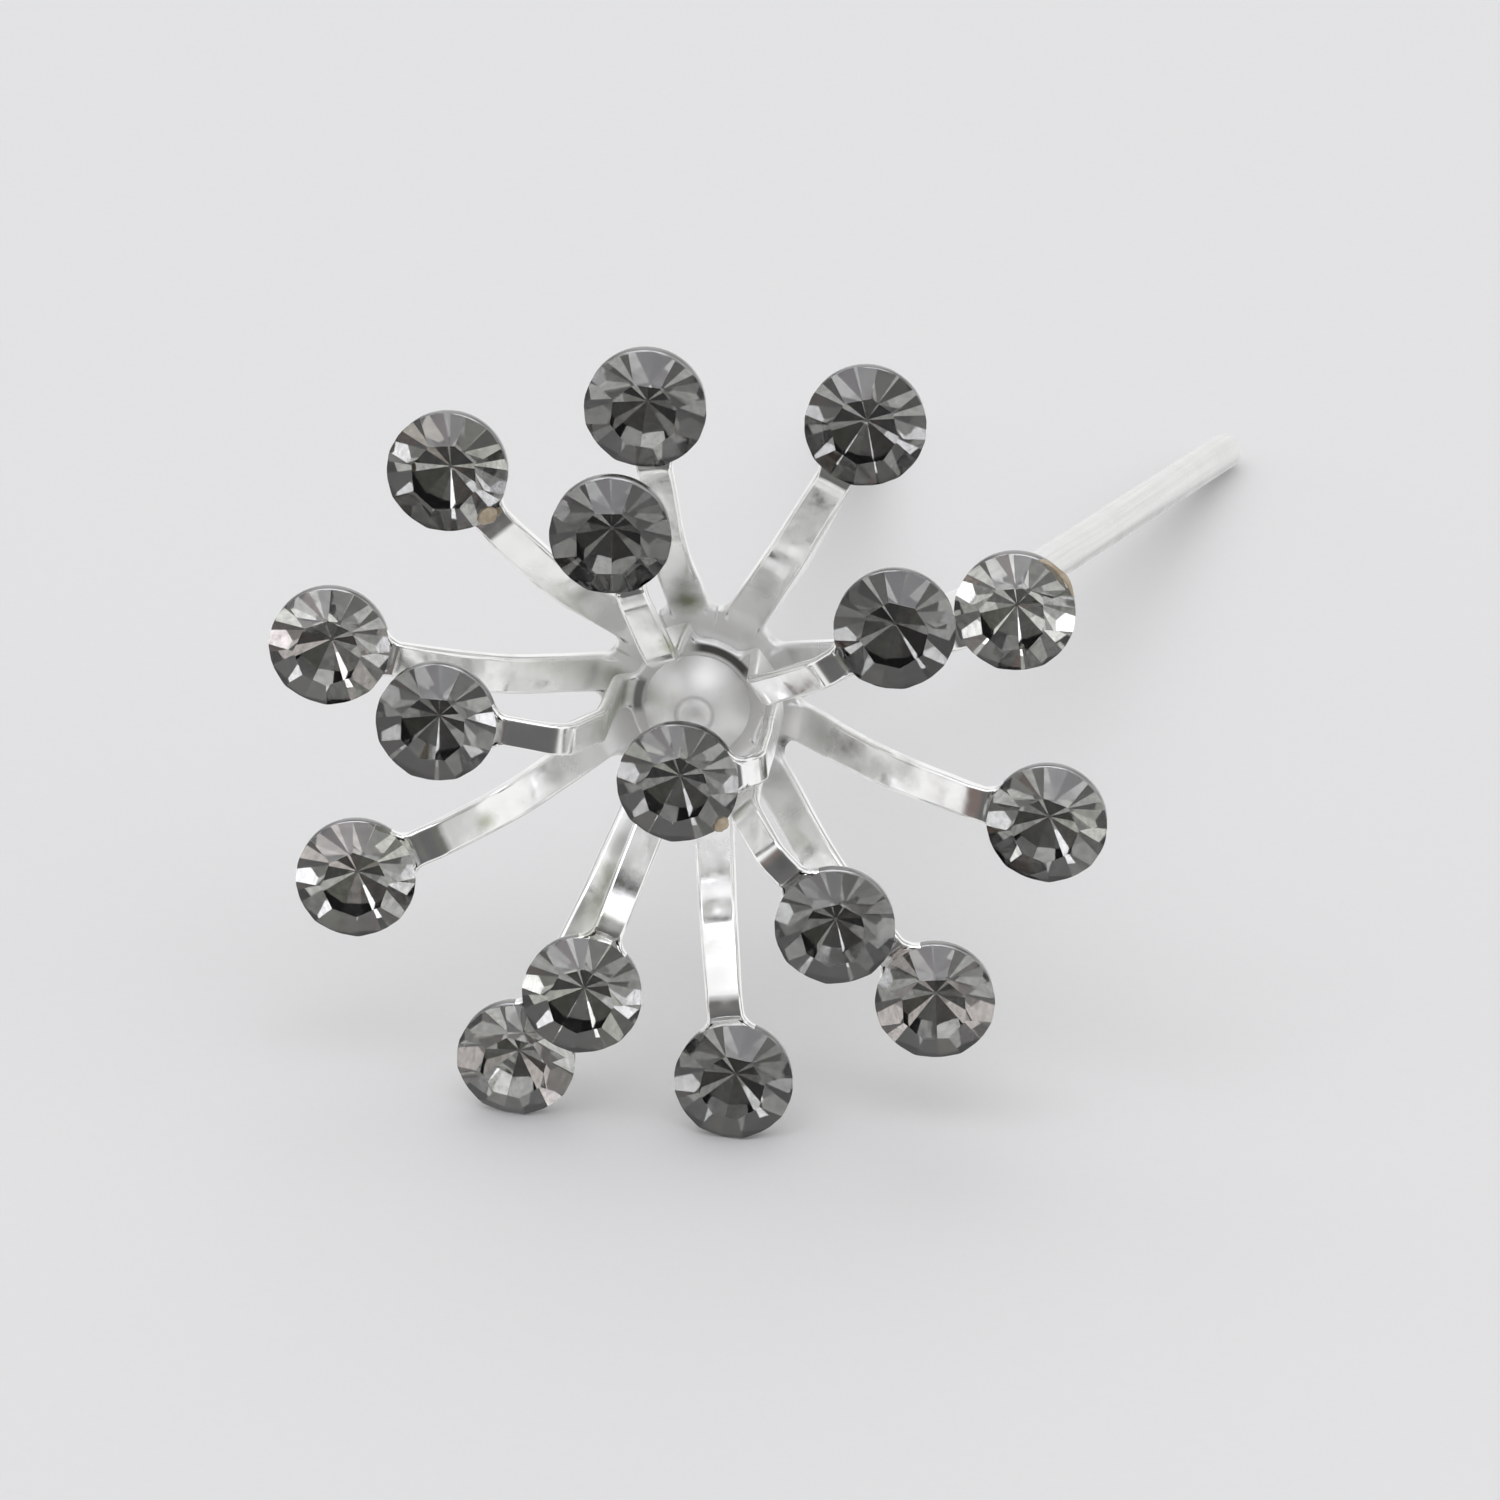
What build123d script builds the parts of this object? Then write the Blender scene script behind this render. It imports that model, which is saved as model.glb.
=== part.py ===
from build123d import *
from collections import namedtuple
from math import atan2, cos, degrees, pi, radians, sin, sqrt, tan
import os

# A hairpin: a burst of sixteen set stones on a U-shaped wire pin. Sizes are in millimetres.
# The burst is drawn about its own axis. Z points out of its face, and z = 0 is the middle of the
# outer star's disc. At the end the whole pin is laid down as it rests.

# Sheet and fits
sheet = 0.4
gap = 0.04

# Stones: round, pointed at the back, with a table and eight main facets above and below
stone_dia = 3.9
table_dia = 2.2
culet_dia = 0.14
crown_angle = 36
pavilion_angle = 42
girdle_height = 0.16
facet_count = 8

# Cups at the ends of the arms, each a round pad with a cone pressed down out of it
cup_inset = 0.05
cup_wall = 0.3
cup_base_dia = 0.8
stone_proud = 0.25
pad_lead = 0.2

# Outer star: the knee is a share of the way from the disc's edge to the pad
outer_reach = 11.8
outer_rise = 4.5
outer_knee_out = 0.47
outer_knee_up = 0.69
outer_arm_width = 1.35
outer_neck_width = 1.15
outer_root_bend = 1.5
outer_knee_bend = 3.0
outer_pad_bend = 1.6

# Inner star: its arms stand up round the rivet's head, and the middle one bends in over it
head_room = 0.25
star_step = 0.6
inner_web = 0.4
inner_reach = 8.0
inner_rise = 5.8
inner_knee_out = 0.06
inner_knee_up = 0.69
inner_arm_width = 1.12
inner_neck_width = 1.0
inner_root_bend = 0.6
inner_knee_bend = 0.9
inner_pad_bend = 1.2
middle_rise = 7.45
middle_drop = 0.6
middle_bend = 0.6

# Round corner between a strip and its pad
neck_flare = 0.6

# Rivet through both stars and the pin's plate
rivet_head_dia = 3.6
rivet_head_height = 1.15
rivet_dimple_dia = 1.0
rivet_dimple_depth = 0.18
rivet_shank_dia = 1.2
rivet_tail_lip = 0.3
rivet_tail_height = 0.24
tail_clearance = 0.05

# Pin: a wire bent to a narrow U, soldered to a plate
wire_dia = 1.4
pin_length = 60.0
tip_spread = 15.7
bend_gap = 1.1
bend_flat = 0.1
leg_bow = 0.95
bow_share = 0.5
bow_radius = 60.0
plate_dia = 5.6
plate_height = 0.9
wire_sink = 0.25
pin_offset = 1.1
pin_lean = 11.3
pin_lean_azimuth = 311
pin_roll = -4.3

# One row for each arm. The azimuth runs anticlockwise from the right, and the spin turns the stone
# about its own axis. Reach and rise are shares of the star's sizes, because each arm is bent by hand.
ArmRow = namedtuple("ArmRow", "azimuth reach rise knee lean spin")
outer_rows = [
    ArmRow(azimuth=25, reach=0.99, rise=1.02, knee=1.02, lean=3, spin=4),
    ArmRow(azimuth=62, reach=1.03, rise=0.84, knee=0.88, lean=-2, spin=17),
    ArmRow(azimuth=96, reach=0.98, rise=1.08, knee=1.04, lean=4, spin=9),
    ArmRow(azimuth=130, reach=1.00, rise=0.97, knee=1.00, lean=-3, spin=31),
    ArmRow(azimuth=165, reach=1.01, rise=0.97, knee=0.98, lean=2, spin=12),
    ArmRow(azimuth=204, reach=1.00, rise=1.01, knee=1.05, lean=5, spin=23),
    ArmRow(azimuth=243, reach=1.04, rise=0.98, knee=0.96, lean=-4, spin=36),
    ArmRow(azimuth=278, reach=0.97, rise=1.08, knee=1.04, lean=2, spin=2),
    ArmRow(azimuth=314, reach=0.99, rise=1.03, knee=1.02, lean=-2, spin=27),
    ArmRow(azimuth=349, reach=1.01, rise=0.98, knee=0.94, lean=3, spin=14),
]
inner_rows = [
    ArmRow(azimuth=35, reach=1.04, rise=1.00, knee=0.90, lean=-4, spin=20),
    ArmRow(azimuth=106, reach=1.00, rise=1.00, knee=1.02, lean=4, spin=7),
    ArmRow(azimuth=171, reach=0.99, rise=1.00, knee=1.00, lean=-2, spin=29),
    ArmRow(azimuth=248, reach=1.07, rise=1.01, knee=0.84, lean=3, spin=15),
    ArmRow(azimuth=313, reach=0.91, rise=1.00, knee=1.18, lean=-3, spin=39),
]
middle_row = ArmRow(azimuth=6, reach=0.01, rise=1.00, knee=1.00, lean=0, spin=33)

# The outer stones that the burst rests on, by their place in the table above
resting_rows = (6, 7)
settling_steps = 30

# Sizes that follow from the ones above
cup_rim_dia = stone_dia - 2 * cup_inset
inner_root_reach = rivet_head_dia / 2 + head_room + inner_root_bend
outer_root_reach = inner_root_reach + star_step
strip_start = rivet_head_dia / 3
rivet_tail_dia = rivet_shank_dia + 2 * rivet_tail_lip
rivet_tail_recess = wire_sink + tail_clearance
bend_width = wire_dia + bend_gap
bend_radius = (bend_width - bend_flat) / 2

# Heights along the burst's axis
inner_level = sheet + gap
head_level = inner_level + sheet / 2 + gap
plate_level = -sheet / 2 - gap
plate_back = plate_level - plate_height

# Shape of a stone, measured from the underside of its girdle
girdle_radius = stone_dia / 2
flat_share = cos(pi / facet_count)
crown_height = (girdle_radius - table_dia / 2) * flat_share * tan(radians(crown_angle))
pavilion_depth = girdle_radius * flat_share * tan(radians(pavilion_angle))
ridge_angle = atan2(pavilion_depth, girdle_radius)
cup_point = stone_proud - pavilion_depth


def facet_cone(low, low_radius, high, high_radius):
    """A tapered block with flat facets, between two levels."""
    low_outline = Pos(0, 0, low) * RegularPolygon(low_radius, facet_count)
    high_outline = Pos(0, 0, high) * RegularPolygon(high_radius, facet_count)
    return loft([low_outline, high_outline], ruled=True)


def cut_stone():
    """One stone, with z = 0 at the underside of its girdle and its table upward."""
    top = girdle_height + crown_height
    height = top + pavilion_depth
    crown_run = flat_share * tan(radians(crown_angle))
    pavilion_run = flat_share * tan(radians(pavilion_angle))
    culet_level = culet_dia / 2 * pavilion_run - pavilion_depth
    body = Pos(0, 0, top - height / 2) * Cylinder(girdle_radius, height)
    crown = facet_cone(-pavilion_depth, table_dia / 2 + height / crown_run, top, table_dia / 2)
    pavilion = facet_cone(culet_level, culet_dia / 2, top, height / pavilion_run)
    return body & crown & pavilion


def cone_radius(level, offset):
    """Radius of the cone that the stone's lower ridges lie on, moved outward by the offset."""
    return (level - cup_point) / tan(ridge_angle) + offset / sin(ridge_angle)


def cup_cone():
    """The cone pressed down out of a pad, with z = 0 at the pad's upper face."""
    low = cup_point - gap - cup_wall
    high = -sheet / 2
    height = high - low
    return Pos(0, 0, (low + high) / 2) * Cone(cup_base_dia / 2, cone_radius(high, gap + cup_wall), height)


def cup_seat():
    """The hollow that the stone's back fits in, with z = 0 at the pad's upper face."""
    low = cup_point - gap
    high = stone_proud
    height = high - low
    return Pos(0, 0, (low + high) / 2) * Cone(cone_radius(low, gap), cone_radius(high, gap), height)


def strip_side(row, root, knee_out, knee_rise, reach, rise, bends):
    """The bent sheet seen from the side: x runs outward and y up from the disc's middle plane."""
    way = 1 if reach > root else -1
    half = way * (cup_rim_dia / 2 + pad_lead)
    pad_start = (reach - half * cos(radians(row.lean)), rise - half * sin(radians(row.lean)))
    pad_end = (reach + half * cos(radians(row.lean)), rise + half * sin(radians(row.lean)))
    knee = (root + knee_out * (pad_start[0] - root), knee_rise)
    line = FilletPolyline((strip_start, 0), (root, 0), knee, pad_start, pad_end, radius=bends)
    return trace(line, line_width=sheet)


def strip_plan(root, reach, root_width, neck_width):
    """The strip and its pad seen from above, with a round flare between them."""
    strip = Polyline(
        (strip_start, -root_width / 2),
        (root + sheet, -root_width / 2),
        (root + sheet, root_width / 2),
        (strip_start, root_width / 2),
        close=True,
    )
    neck = Polyline(
        (root, -root_width / 2),
        (reach, -neck_width / 2),
        (reach, neck_width / 2),
        (root, root_width / 2),
        close=True,
    )
    rim = cup_rim_dia / 2
    plan = make_face(strip) + make_face(neck) + Pos(reach, 0) * Circle(rim)
    middle = Vector(reach, 0)
    on_rim = [corner for corner in plan.vertices() if abs((corner.center() - middle).length - rim) < gap]
    return fillet(on_rim, neck_flare)


def arm(row, level, root, knee_out, knee_rise, reach, rise, widths, bends):
    """One arm with its cup. Gives the solid and the frame of its pad's upper face."""
    outline = strip_side(row, root, knee_out, knee_rise, reach, rise, bends)
    side = extrude(Plane.XZ * outline, cup_rim_dia, both=True)
    plan = strip_plan(root, reach, *widths)
    prism = extrude(plan, 2 * rise, both=True)
    pad = Pos(reach, 0, rise) * Rot(0, -row.lean, 0) * Pos(0, 0, sheet / 2)
    turn = Rot(0, 0, row.azimuth) * Pos(0, 0, level)
    return turn * ((side & prism) + pad * cup_cone()), turn * pad


def star(disc_radius, level, arms):
    """A disc and its arms as one piece of sheet, with the rivet's hole and every seat cut."""
    solid = Pos(0, 0, level) * Cylinder(disc_radius, sheet)
    for shape, pad in arms:
        solid += shape
    for shape, pad in arms:
        solid -= pad * cup_seat()
    return solid - Pos(0, 0, level) * Cylinder(rivet_shank_dia / 2 + gap, 2 * sheet)


def outer_arm(row):
    """An arm that slants outward from the disc and levels out at its pad."""
    reach = outer_reach * row.reach
    rise = outer_rise * row.rise
    knee_rise = outer_knee_up * outer_rise * row.knee
    widths = (outer_arm_width, outer_neck_width)
    bends = (outer_root_bend, outer_knee_bend, outer_pad_bend)
    return arm(row, 0, outer_root_reach, outer_knee_out, knee_rise, reach, rise, widths, bends)


def inner_arm(row):
    """An arm that stands up from the disc and then bends outward."""
    reach = inner_reach * row.reach
    rise = inner_rise * row.rise
    knee_rise = inner_knee_up * inner_rise * row.knee
    widths = (inner_arm_width, inner_neck_width)
    bends = (inner_root_bend, inner_knee_bend, inner_pad_bend)
    return arm(row, inner_level, inner_root_reach, inner_knee_out, knee_rise, reach, rise, widths, bends)


def middle_arm(row):
    """The arm that stands straight up and bends inward over the rivet."""
    reach = inner_reach * row.reach
    knee_rise = middle_rise - middle_drop
    widths = (inner_arm_width, inner_neck_width)
    bends = (inner_root_bend, middle_bend, middle_bend)
    return arm(row, inner_level, inner_root_reach, 0, knee_rise, reach, middle_rise, widths, bends)


def rivet():
    """Domed head with a dimple, shank, and a tail spread in the plate's counterbore."""
    tail_level = plate_back + rivet_tail_recess
    ball = ((rivet_head_dia / 2) ** 2 + rivet_head_height**2) / (2 * rivet_head_height)
    top = head_level + rivet_head_height
    dimple_level = top - ball + sqrt(ball**2 - (rivet_dimple_dia / 2) ** 2)
    dimple_ball = ((rivet_dimple_dia / 2) ** 2 + rivet_dimple_depth**2) / (2 * rivet_dimple_depth)
    shank = Polyline(
        (0, dimple_level - rivet_dimple_depth),
        (0, tail_level),
        (rivet_tail_dia / 2, tail_level),
        (rivet_shank_dia / 2, tail_level + rivet_tail_height),
        (rivet_shank_dia / 2, head_level),
        (rivet_head_dia / 2, head_level),
    )
    dome = RadiusArc(shank @ 1, (rivet_dimple_dia / 2, dimple_level), -ball)
    dimple = RadiusArc(dome @ 1, shank @ 0, dimple_ball)
    return revolve(Plane.XZ * make_face(shank + dome + dimple), Axis.Z)


def pin_frame():
    """Frame of the U: x across the legs, z from the bend toward the tips."""
    lean = radians(pin_lean)
    azimuth = radians(pin_lean_azimuth)
    along = Vector(sin(lean) * cos(azimuth), sin(lean) * sin(azimuth), -cos(lean))
    across = Vector(cos(radians(pin_roll)), sin(radians(pin_roll)), 0)
    root = Vector(pin_offset, 0, plate_back + wire_sink - wire_dia / 2)
    return Plane(origin=root, x_dir=across, z_dir=along)


def leg_points(side):
    """Corner of the bend, place of the bow and tip's centre of one leg, in the pin's frame."""
    corner = Vector(side * bend_width / 2, 0, 0)
    tip = Vector(side * (tip_spread - wire_dia) / 2, 0, pin_length - wire_dia)
    bow = corner + (tip - corner) * bow_share + Vector(0, leg_bow, 0)
    return [corner, bow, tip]


def pin():
    """Wire and plate. The wire's bend is sunk a little into the plate, as solder holds it."""
    frame = pin_frame()
    corners = [frame.from_local_coords(point) for point in leg_points(1)[::-1] + leg_points(-1)]
    path = FilletPolyline(*corners, radius=[bow_radius, bend_radius, bend_radius, bow_radius])
    section = Plane(origin=path @ 0, z_dir=path % 0) * Circle(wire_dia / 2)
    wire = sweep(section, path)
    for tip in (corners[0], corners[-1]):
        wire += Pos(tip) * Sphere(wire_dia / 2)
    plate = Pos(0, 0, plate_level - plate_height / 2) * Cylinder(plate_dia / 2, plate_height)
    tail_room = rivet_tail_dia / 2 + gap
    shank_room = rivet_shank_dia / 2 + gap
    tail_top = plate_back + rivet_tail_recess
    hole = make_face(Polyline(
        (0, plate_back - gap),
        (tail_room, plate_back - gap),
        (tail_room, tail_top + gap),
        (shank_room, tail_top + rivet_tail_height + gap),
        (shank_room, plate_level + gap),
        (0, plate_level + gap),
        close=True,
    ))
    return wire + (plate - revolve(Plane.XZ * hole, Axis.Z))


def low_point(rings, down):
    """Lowest point of a set of rings. A ring has a center, a radius and an axis, and a ball has no axis."""
    points = []
    for center, radius, axis in rings:
        way = down if axis is None else (down - axis * down.dot(axis)).normalized()
        points.append(center + way * radius)
    return max(points, key=lambda point: point.dot(down))


def cup_rings(pad):
    """The edges of a pad and the girdle of its stone, which a burst on its side rests on."""
    rings = []
    girdle_top = stone_proud + girdle_height
    edges = [(0, cup_rim_dia), (-sheet, cup_rim_dia), (stone_proud, stone_dia), (girdle_top, stone_dia)]
    for level, diameter in edges:
        face = Plane(pad * Pos(0, 0, level))
        rings.append((face.origin, diameter / 2, face.z_dir))
    return rings


def resting_up(supports):
    """The upward direction and the level of a floor that touches three supports."""
    up = Vector(0, 1, 0)
    for step in range(settling_steps):
        points = [low_point(rings, -up) for rings in supports]
        normal = (points[1] - points[0]).cross(points[2] - points[0]).normalized()
        up = normal if normal.Y > 0 else -normal
    return up, points[0].dot(up)


def resting_frame(pads):
    """Frame of the floor under two stones and the lower tip: z up and y toward the tips of the pin."""
    cups = [cup_rings(pads[place]) for place in resting_rows]
    frame = pin_frame()
    tips = [frame.from_local_coords(leg_points(side)[-1]) for side in (1, -1)]
    choices = []
    for tip, other in (tips, tips[::-1]):
        up, level = resting_up(cups + [[(tip, wire_dia / 2, None)]])
        choices.append((other.dot(up) - level, up))
    up = max(choices, key=lambda choice: choice[0])[1]
    along = (tips[0] + tips[1]) * 0.5 - frame.origin
    forward = (along - up * along.dot(up)).normalized()
    return Plane(origin=(0, 0, 0), x_dir=forward.cross(up), z_dir=up)


outer = [outer_arm(row) for row in outer_rows]
inner = [inner_arm(row) for row in inner_rows] + [middle_arm(middle_row)]
pieces = {
    "outer_star": star(outer_root_reach, 0, outer),
    "inner_star": star(rivet_head_dia / 2 + inner_web, inner_level, inner),
    "hub_rivet": rivet(),
    "hair_pin": pin(),
}
stone = cut_stone()
rows = outer_rows + inner_rows + [middle_row]
pads = [pad for shape, pad in outer + inner]
for number, (row, pad) in enumerate(zip(rows, pads), start=1):
    pieces[f"stone_{number:02d}"] = pad * Pos(0, 0, stone_proud) * Rot(0, 0, row.spin) * stone

# Everything is laid down at rest, with the origin under the middle of the whole pin's box
floor = resting_frame(pads)
laid = {name: floor.location.inverse() * shape for name, shape in pieces.items()}
box = Compound(list(laid.values())).bounding_box()
middle = box.center()
placing = Pos(-middle.X, -middle.Y, -box.min.Z)

os.makedirs("parts", exist_ok=True)
for name, shape in laid.items():
    export_step(placing * shape, f"parts/{name}.step")
print("size", box.size)
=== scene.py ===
import bmesh
import bpy
import math
import numpy as np
import random
from mathutils import Matrix, Vector, noise


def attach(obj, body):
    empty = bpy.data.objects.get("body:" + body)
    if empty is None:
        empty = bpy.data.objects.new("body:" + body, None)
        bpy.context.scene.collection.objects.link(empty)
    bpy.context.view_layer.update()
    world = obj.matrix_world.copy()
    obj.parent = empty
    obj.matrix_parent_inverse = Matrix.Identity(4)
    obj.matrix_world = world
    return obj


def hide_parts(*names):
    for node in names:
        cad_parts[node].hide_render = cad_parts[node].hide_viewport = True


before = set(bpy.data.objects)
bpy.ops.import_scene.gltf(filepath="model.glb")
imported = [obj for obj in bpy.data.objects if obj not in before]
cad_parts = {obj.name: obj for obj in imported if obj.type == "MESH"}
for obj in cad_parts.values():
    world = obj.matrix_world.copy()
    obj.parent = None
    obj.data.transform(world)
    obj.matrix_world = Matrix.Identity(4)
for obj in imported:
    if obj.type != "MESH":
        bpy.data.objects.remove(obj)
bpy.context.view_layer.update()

# Hairpin: sixteen foiled stones on two bent stars of plated sheet, riveted to a wire pin
# lengths in the dictionaries are millimetres, and the meshes are metres
mm = 0.001
onAxis = 1e-6        # a ring narrower than this is a single point
allStones = [f"stone_{number:02d}" for number in range(1, 17)]
outerStones, innerStones, middleStone = allStones[:10], allStones[10:15], allStones[15]


# Mesh helpers

def newPiece(name, points, faces, materials, faceMaterials=None, smooth=True):
    # points in metres, already in the row's frame
    mesh = bpy.data.meshes.new(name)
    mesh.from_pydata([tuple(point) for point in points], [], faces)
    for material in materials:
        mesh.materials.append(material)
    if faceMaterials:
        mesh.polygons.foreach_set("material_index", faceMaterials)
    mesh.polygons.foreach_set("use_smooth", [smooth] * len(mesh.polygons))
    mesh.update()
    piece = bpy.data.objects.new(name, mesh)
    bpy.context.scene.collection.objects.link(piece)
    return piece


def keepFlats(piece):
    # flat faces stay flat beside their narrow round edges
    weighted = piece.modifiers.new("flats", "WEIGHTED_NORMAL")
    weighted.weight = 50
    weighted.keep_sharp = True


def finishPiece(piece, slot, *nodes):
    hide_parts(*nodes)
    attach(piece, "root")


def levelWay(angle):
    # the direction at an angle from x, in the xy plane
    return Vector((math.cos(angle), math.sin(angle), 0))


def turnsOf(sides):
    # the angles of a ring's points
    return [2 * math.pi * side / sides for side in range(sides)]


def addRing(points, spots, sides):
    # the numbers of a ring's new points; a single point stands for a whole ring
    first = len(points)
    points += spots
    return [first + side if len(spots) > 1 else first for side in range(sides)]


def skin(rings, flipped=False):
    # the faces between rings, triangles where a ring is a single point; flipped, they face the other way
    faces = []
    for low, high in zip(rings, rings[1:]):
        for side in range(len(low)):
            after = (side + 1) % len(low)
            corners = list(dict.fromkeys([low[side], low[after], high[after], high[side]]))
            if len(corners) > 2:
                faces.append(corners[:1] + corners[:0:-1] if flipped else corners)
    return faces


def turned(profile, place, sides, closed=False):
    # a profile of (radius, height) pairs turned about a place's z axis; its ends meet or lie on the axis
    points, rings = [], []
    for radius, height in profile:
        turns = turnsOf(sides) if radius > onAxis else [0]
        spots = [Vector((radius * math.cos(turn), radius * math.sin(turn), height)) for turn in turns]
        rings.append(addRing(points, [place @ (spot * mm) for spot in spots], sides))
    return points, skin(rings + rings[:1] if closed else rings)


def roundedPath(corners, radii):
    # straight runs with a round bend at each inner corner, in two or three dimensions
    runs = []
    start = Vector(corners[0])
    for corner, after, radius in zip(corners[1:-1], corners[2:], radii):
        corner, after = Vector(corner), Vector(after)
        along = (corner - start).normalized()
        onward = (after - corner).normalized()
        turn = along.angle(onward)
        side = (onward - along * along.dot(onward)).normalized()
        setback = radius * math.tan(turn / 2)
        bendStart = corner - along * setback
        runs.append({"length": (bendStart - start).length, "start": start, "along": along})
        center = bendStart + side * radius
        runs.append({
            "length": radius * turn, "start": bendStart, "along": along,
            "side": side, "center": center, "radius": radius,
        })
        start = corner + onward * setback
    end = Vector(corners[-1])
    runs.append({"length": (end - start).length, "start": start, "along": (end - start).normalized()})
    return runs


def pathLength(runs):
    return sum(run["length"] for run in runs)


def alongPath(runs, distance):
    # the point and the direction at a distance along the path
    for run in runs[:-1]:
        if distance <= run["length"]:
            break
        distance -= run["length"]
    else:
        run = runs[-1]
    if "radius" not in run:
        return run["start"] + run["along"] * distance, run["along"]
    angle = distance / run["radius"]
    first, side = run["along"], run["side"]
    point = run["center"] + (first * math.sin(angle) - side * math.cos(angle)) * run["radius"]
    return point, first * math.cos(angle) + side * math.sin(angle)


def sheetPoint(runs, distance, offset):
    # a point beside the path, offset to its left
    point, along = alongPath(runs, distance)
    return point + Vector((-along.y, along.x)) * offset


# Places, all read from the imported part

# how alike the faces of one flat are: the cosine between them, and millimetres in level
sameFacing, sameLevel = 0.99999, 0.002


def flatFace(node):
    # the largest flat face of a CAD node: its middle, its normal, and its corners
    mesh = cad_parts[node].data
    normals = np.array([face.normal for face in mesh.polygons])
    centers = np.array([face.center for face in mesh.polygons])
    areas = np.array([face.area for face in mesh.polygons])
    levels = (normals * centers).sum(axis=1)
    together = (normals @ normals.T > sameFacing) & (abs(levels[:, None] - levels) < sameLevel * mm)
    chosen = together[(together @ areas).argmax()]
    weights = areas[chosen] / areas[chosen].sum()
    middle = Vector(weights @ centers[chosen])
    normal = Vector(weights @ normals[chosen]).normalized()
    corners = {index for face in np.flatnonzero(chosen) for index in mesh.polygons[face].vertices}
    return middle, normal, [mesh.vertices[index].co.copy() for index in corners]


def placeOf(origin, right, up):
    # a 4x4 matrix with z along up and x as near right as it can be
    up = up.normalized()
    across = up.cross(right).normalized()
    columns = Matrix((across.cross(up), across, up)).transposed().to_4x4()
    columns.translation = origin
    return columns


stoneCut = {
    "width": 3.9,
    "table": 2.2,
    "culet": 0.14,
    "crownAngle": 36,
    "backAngle": 42,
    "girdle": 0.16,
    "facets": 8,
    "proud": 0.25,       # the girdle's height above its cup
    "edge": 0.028,       # how far the polish rounds each edge
    "rimSides": 64,
    "upright": 0.1,      # faces that rise or fall less than this are the girdle
    "facesBack": -0.3,   # and faces that fall more are the foiled back
    "sharpFrom": 12,     # degrees between two faces whose edge the polish rounds
    "seed": 100,
    # how often a back facet has each foil, and the stones that differ; the dark, deep and bright foils
    # paint shade and light in the facets, and each stone that differs gets more of them for its own light
    # and shade
    "foilShares": {"plain": 5, "dark": 4, "rose": 0.8, "olive": 1, "bright": 0, "deep": 0},
    "otherShares": {
        "stone_01": {"dark": 0.5, "bright": 14},
        "stone_02": {"dark": 6, "deep": 2},
        "stone_03": {"dark": 16, "deep": 5},
        "stone_05": {"dark": 0.5, "bright": 9},
        "stone_06": {"dark": 4, "bright": 1.2},
        "stone_07": {"dark": 2, "bright": 2.5},
        "stone_08": {"dark": 6, "deep": 22},
        "stone_09": {"dark": 2, "bright": 4},
        "stone_11": {"dark": 6, "deep": 8},
        "stone_12": {"dark": 16, "deep": 16},
        "stone_13": {"dark": 6, "deep": 5},
        "stone_15": {"dark": 16, "deep": 12},
        "stone_16": {"dark": 6, "deep": 2},
    },
}
flatShare = math.cos(math.pi / stoneCut["facets"])
crownSlope = math.tan(math.radians(stoneCut["crownAngle"]))
backSlope = math.tan(math.radians(stoneCut["backAngle"]))
crownHeight = (stoneCut["width"] - stoneCut["table"]) / 2 * flatShare * crownSlope
backDepth = stoneCut["width"] / 2 * flatShare * backSlope

sheetMetal = {
    "thickness": 0.4,
    "gap": 0.04,
    "edge": 0.12,        # round edge that tumbling leaves
    "edgeSteps": 3,
    "rowStep": 0.15,
    "rimStep": 0.2,
    "columns": 8,
    "hubRings": 8,
    "cornerSteps": 6,
    "leastGap": 0.12,    # half the least gap between two arms' feet
    "wave": (0.035, 0.8, 0.5),       # hand-bent waviness: its height, and how it changes each way
    "widthWave": (0.035, 0.6, 7.3),  # its share of the width, how it changes, and where in the noise
    "phases": 50,        # how far apart in the noise the arms may be
}
columnShares = [2 * column / sheetMetal["columns"] - 1 for column in range(sheetMetal["columns"] + 1)]
rivetShape = {
    "head": 3.6,
    "headHeight": 1.15,
    "dimple": 1.15,
    "dimpleDepth": 0.19,
    "shank": 1.2,
    "tailLip": 0.3,
    "tailHeight": 0.24,
    "edge": 0.1,
    "sides": 128,
    "dimpleSteps": 10,
    "domeSteps": 48,
}
headLevel = 1.5 * sheetMetal["thickness"] + 2 * sheetMetal["gap"]
innerLevel = sheetMetal["thickness"] + sheetMetal["gap"]

# the rivet's widest flat is the underside of its head, which looks back along the burst's axis
rivetFlat, rivetBack = flatFace("hub_rivet")[:2]
burstAxis = -rivetBack
hubOrigin = rivetFlat - burstAxis * headLevel * mm
firstAzimuth = math.radians(25)      # where the first stone lies round the burst
stonePlaces = {}
for name in allStones:
    middle, normal, corners = flatFace(name)
    far = max(corners, key=lambda corner: (corner - middle).length)
    girdleOrigin = middle - normal * (stoneCut["girdle"] + crownHeight) * mm
    stonePlaces[name] = placeOf(girdleOrigin, far - middle, normal)
towardFirst = placeOf(hubOrigin, stonePlaces["stone_01"].translation - hubOrigin, burstAxis)
burst = towardFirst @ Matrix.Rotation(-firstAzimuth, 4, "Z")
intoBurst = burst.inverted()
print("places read: burst axis", [round(value, 3) for value in burstAxis])


# Materials

def feed(owner, node, sources):
    # each socket gets a plain value, or a link from the output that feeds it
    for socket, source in sources.items():
        if isinstance(source, bpy.types.NodeSocket):
            owner.node_tree.links.new(source, node.inputs[socket])
        else:
            node.inputs[socket].default_value = source


def shaderOf(name, sources):
    # a node material, with plain values on the shader's own sockets
    material = bpy.data.materials.new(name)
    material.use_nodes = True
    shader = material.node_tree.nodes["Principled BSDF"]
    feed(material, shader, sources)
    return material, shader


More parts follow.
